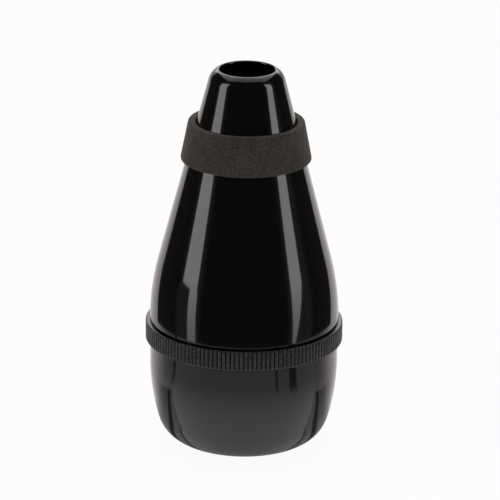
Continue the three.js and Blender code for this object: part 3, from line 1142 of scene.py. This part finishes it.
def white_laminate(add, place, settings):
    """Matt white laminate: the camera sees it nearly white, with the mute's soft shadow.

    Gloss plastic mirrors it as a round table with nothing pale beyond it.
    """
    path = add("ShaderNodeLightPath").outputs
    from_axis = add("ShaderNodeVectorMath", {0: place}, operation="LENGTH")
    grain = add("ShaderNodeTexNoise", {"Vector": place, "Scale": 1 / LAMINATE_GRAIN, "Detail": 3.0})
    paint = add("ShaderNodeMapRange", {"Value": grain, "To Min": 0.985, "To Max": 1.0})
    tint = add("ShaderNodeVectorMath", {0: settings.floor_colour[:3], "Scale": paint}, operation="SCALE")
    matt = add("ShaderNodeBsdfDiffuse", {"Color": tint, "Roughness": 0.5})
    # What the camera sees is mostly plain white
    plain = add("ShaderNodeEmission", {"Color": WHITE, "Strength": 1.0})
    glow = add("ShaderNodeMath", {0: path["Is Camera Ray"], 1: settings.floor_glow}, operation="MULTIPLY")
    floor = add("ShaderNodeMixShader", {0: glow, 1: matt, 2: plain})
    level = mirrored_table(add, place, from_axis, settings)
    mirrored = add("ShaderNodeEmission", {"Color": settings.lamp_colour, "Strength": level})
    reflected = add(
        "ShaderNodeMath", {0: path["Is Glossy Ray"], 1: path["Is Transmission Ray"]}, operation="MAXIMUM"
    )
    table = add("ShaderNodeMixShader", {0: reflected, 1: floor, 2: mirrored})
    # Beyond the table, only the camera and the light that the floor scatters find a floor
    beyond = add("ShaderNodeMath", {0: from_axis, 1: settings.table_radius}, operation="GREATER_THAN")
    hidden = add("ShaderNodeMath", {0: reflected, 1: path["Is Shadow Ray"]}, operation="MAXIMUM")
    open_floor = add("ShaderNodeMath", {0: beyond, 1: hidden}, operation="MULTIPLY")
    clear = add("ShaderNodeBsdfTransparent")
    return add("ShaderNodeMixShader", {0: open_floor, 1: table, 2: clear})


def build_floor(settings):
    """One flat sheet just under the foot."""
    bm = bmesh.new()
    bmesh.ops.create_grid(bm, x_segments=1, y_segments=1, size=FLOOR_REACH)
    mesh = bpy.data.meshes.new("floor")
    bm.to_mesh(mesh)
    bm.free()
    floor = bpy.data.objects.new("floor", mesh)
    floor.location.z = -FLOOR_GAP
    bpy.context.scene.collection.objects.link(floor)
    laminate = shared("matt white laminate", white_laminate, settings)
    laminate.cycles.emission_sampling = "NONE"
    mesh.materials.append(laminate)


def build_fill(settings):
    """A wide soft lamp above the camera. It lifts the matt surfaces and leaves no mark on the gloss."""
    lamp = bpy.data.lights.new("front_fill", "AREA")
    lamp.shape = "DISK"
    lamp.size = FILL_SIZE
    lamp.energy = settings.fill
    fill = bpy.data.objects.new("front_fill", lamp)
    fill.location = FILL_PLACE
    aim = Vector((0, 0, settings.camera_target)) - fill.location
    fill.rotation_euler = aim.to_track_quat("-Z", "Y").to_euler()
    fill.visible_glossy = False
    fill.visible_camera = False
    bpy.context.scene.collection.objects.link(fill)


def build_camera(settings):
    """The photograph's view, from the front and a little above."""
    lens = bpy.data.cameras.new("camera")
    lens.lens = settings.lens
    lens.shift_x = settings.shift_across
    lens.shift_y = settings.shift_up
    camera = bpy.data.objects.new("camera", lens)
    bpy.context.scene.collection.objects.link(camera)
    target = Vector((0, 0, settings.camera_target))
    away = Vector((0, -math.cos(settings.camera_height), math.sin(settings.camera_height)))
    camera.location = target + away * settings.camera_distance
    camera.rotation_mode = "QUATERNION"
    upright = (-away).to_track_quat("-Z", "Y")
    roll = Quaternion((0, 0, 1), settings.camera_roll)
    camera.rotation_quaternion = upright @ roll
    bpy.context.scene.camera = camera


# Operators


class MUTE_OT_stage(bpy.types.Operator):
    """Lay out the studio, the floor, the fill lamp and the camera."""

    bl_idname = "mute.stage"
    bl_label = "Stage"

    def execute(self, context):
        settings = context.scene.mute_stage
        build_camera(settings)
        studio_world(settings)
        build_floor(settings)
        build_fill(settings)
        context.scene.view_settings.view_transform = "Standard"
        return {"FINISHED"}


class MUTE_OT_cone_shell(bpy.types.Operator):
    """Mould the cone shell and the thread round its foot."""

    bl_idname = "mute.cone_shell"
    bl_label = "Cone shell"

    def execute(self, context):
        settings = context.scene.mute_shells
        ring = context.scene.mute_ring
        plastic = shared("polished moulded ABS", gloss_abs, settings)
        finish_piece(cone_shell(settings), "cone", plastic, "cone_shell")
        crest = cone_high.x + ring.thread_depth
        ridge = thread_ridge("cone_thread", ring, cone_high.x, crest, 0)
        finish_piece(ridge, "cone", plastic)
        return {"FINISHED"}


class MUTE_OT_bowl_shell(bpy.types.Operator):
    """Mould the bowl shell."""

    bl_idname = "mute.bowl_shell"
    bl_label = "Bowl shell"

    def execute(self, context):
        settings = context.scene.mute_shells
        plastic = shared("polished moulded ABS", gloss_abs, settings)
        shell = bowl_shell(settings, context.scene.mute_inner)
        finish_piece(shell, "bowl", plastic, "bowl_shell")
        return {"FINISHED"}


class MUTE_OT_knurled_ring(bpy.types.Operator):
    """Mould the knurled ring and the thread in its bore."""

    bl_idname = "mute.knurled_ring"
    bl_label = "Knurled ring"

    def execute(self, context):
        settings = context.scene.mute_ring
        shells = context.scene.mute_shells
        plastic = shared("satin moulded ABS", satin_abs, settings)
        finish_piece(knurled_ring(settings, shells), "ring", plastic, "knurled_ring")
        bore = ring_bore(settings)
        # Half a turn on from the cone's ridge, so the two run between each other
        ridge = thread_ridge("ring_thread", settings, bore, bore - settings.thread_depth, math.pi)
        finish_piece(ridge, "ring", plastic)
        return {"FINISHED"}


class MUTE_OT_foam_collar(bpy.types.Operator):
    """Cut the foam collar."""

    bl_idname = "mute.foam_collar"
    bl_label = "Foam collar"

    def execute(self, context):
        settings = context.scene.mute_collar
        foam = shared("closed-cell EVA foam", closed_cell_foam, settings)
        collar = foam_collar(settings, context.scene.mute_shells)
        finish_piece(collar, "cone", foam, "foam_collar")
        return {"FINISHED"}


class MUTE_OT_rubber(bpy.types.Operator):
    """Mould the sealing ring and the grommet."""

    bl_idname = "mute.rubber"
    bl_label = "Sealing ring and grommet"

    def execute(self, context):
        inner = context.scene.mute_inner
        shells = context.scene.mute_shells
        rubber = shared("moulded nitrile rubber", nitrile_rubber, inner)
        finish_piece(sealing_ring(shells), "bowl", rubber, "sealing_ring")
        finish_piece(tube_grommet(inner, shells), "bowl", rubber, "tube_grommet")
        return {"FINISHED"}


class MUTE_OT_baffle(bpy.types.Operator):
    """Mould the baffle disc and the breather tube."""

    bl_idname = "mute.baffle"
    bl_label = "Baffle disc and breather tube"

    def execute(self, context):
        inner = context.scene.mute_inner
        plastic = shared("textured moulded ABS", textured_abs, inner)
        disc = baffle_disc(inner, context.scene.mute_shells)
        finish_piece(disc, "bowl", plastic, "baffle_disc")
        finish_piece(breather_tube(inner), "bowl", plastic, "breather_tube")
        return {"FINISHED"}


class MUTE_OT_damping_foam(bpy.types.Operator):
    """Cut the damping foam."""

    bl_idname = "mute.damping_foam"
    bl_label = "Damping foam"

    def execute(self, context):
        inner = context.scene.mute_inner
        foam = shared("open-cell polyurethane foam", open_cell_foam, inner)
        ring = damping_foam(inner, context.scene.mute_shells)
        finish_piece(ring, "bowl", foam, "damping_foam")
        return {"FINISHED"}


STEPS = (
    MUTE_OT_stage,
    MUTE_OT_cone_shell,
    MUTE_OT_bowl_shell,
    MUTE_OT_knurled_ring,
    MUTE_OT_foam_collar,
    MUTE_OT_rubber,
    MUTE_OT_baffle,
    MUTE_OT_damping_foam,
)


class MUTE_PT_steps(bpy.types.Panel):
    """The steps that build the mute."""

    bl_idname = "MUTE_PT_steps"
    bl_label = "Practice mute"
    bl_space_type = "VIEW_3D"
    bl_region_type = "UI"
    bl_category = "Mute"

    def draw(self, context):
        for step in STEPS:
            self.layout.operator(step.bl_idname)


SETTINGS = {
    "mute_shells": ShellSettings,
    "mute_ring": RingSettings,
    "mute_collar": CollarSettings,
    "mute_inner": InnerSettings,
    "mute_stage": StageSettings,
}


def register():
    """Registers the settings, the operators and the panel."""
    for name, group in SETTINGS.items():
        bpy.utils.register_class(group)
        setattr(bpy.types.Scene, name, PointerProperty(type=group))
    for step in STEPS:
        bpy.utils.register_class(step)
    bpy.utils.register_class(MUTE_PT_steps)


def unregister():
    """Takes back what register added."""
    bpy.utils.unregister_class(MUTE_PT_steps)
    for step in reversed(STEPS):
        bpy.utils.unregister_class(step)
    for name, group in SETTINGS.items():
        delattr(bpy.types.Scene, name)
        bpy.utils.unregister_class(group)


def main():
    """Builds the mute and its stage."""
    register()
    bpy.ops.mute.stage()
    bpy.ops.mute.cone_shell()
    bpy.ops.mute.bowl_shell()
    bpy.ops.mute.knurled_ring()
    bpy.ops.mute.foam_collar()
    bpy.ops.mute.rubber()
    bpy.ops.mute.baffle()
    bpy.ops.mute.damping_foam()


if __name__ == "__main__":
    main()
